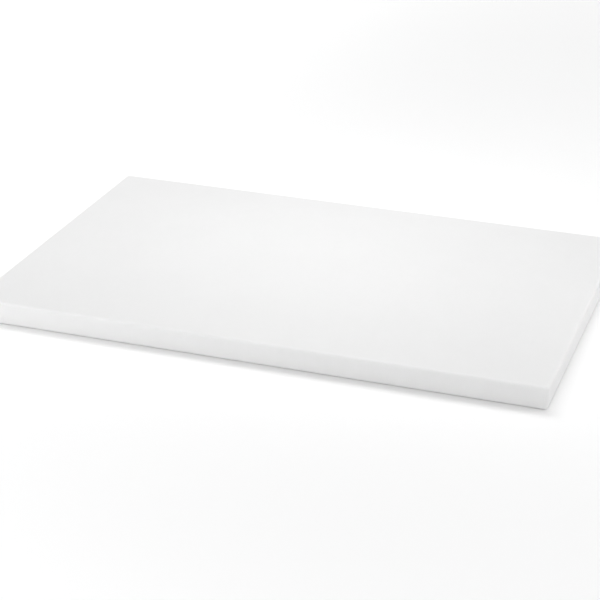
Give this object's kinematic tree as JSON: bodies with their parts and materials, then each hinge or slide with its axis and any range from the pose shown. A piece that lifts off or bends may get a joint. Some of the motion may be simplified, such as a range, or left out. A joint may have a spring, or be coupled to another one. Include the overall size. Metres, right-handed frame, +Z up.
{
  "type": "cutting board",
  "caption": "Plain rectangular white polyethylene cutting board: a solid reversible slab with rounded corners and softened rims, for butcher, deli and kitchen worktops.",
  "frame": {"origin": "centre of the underside, on the surface that the board rests on", "axes": "+Z up through the thickness, X along the length, Y across the width"},
  "size_m": [0.4572, 0.3048, 0.018],
  "materials": {
    "white_polyethylene": "undyed high-density polyethylene, fine matt grain on both faces, satin machined edges"
  },
  "bodies": {
    "root": {"board": "white_polyethylene"}
  },
  "joints": []
}
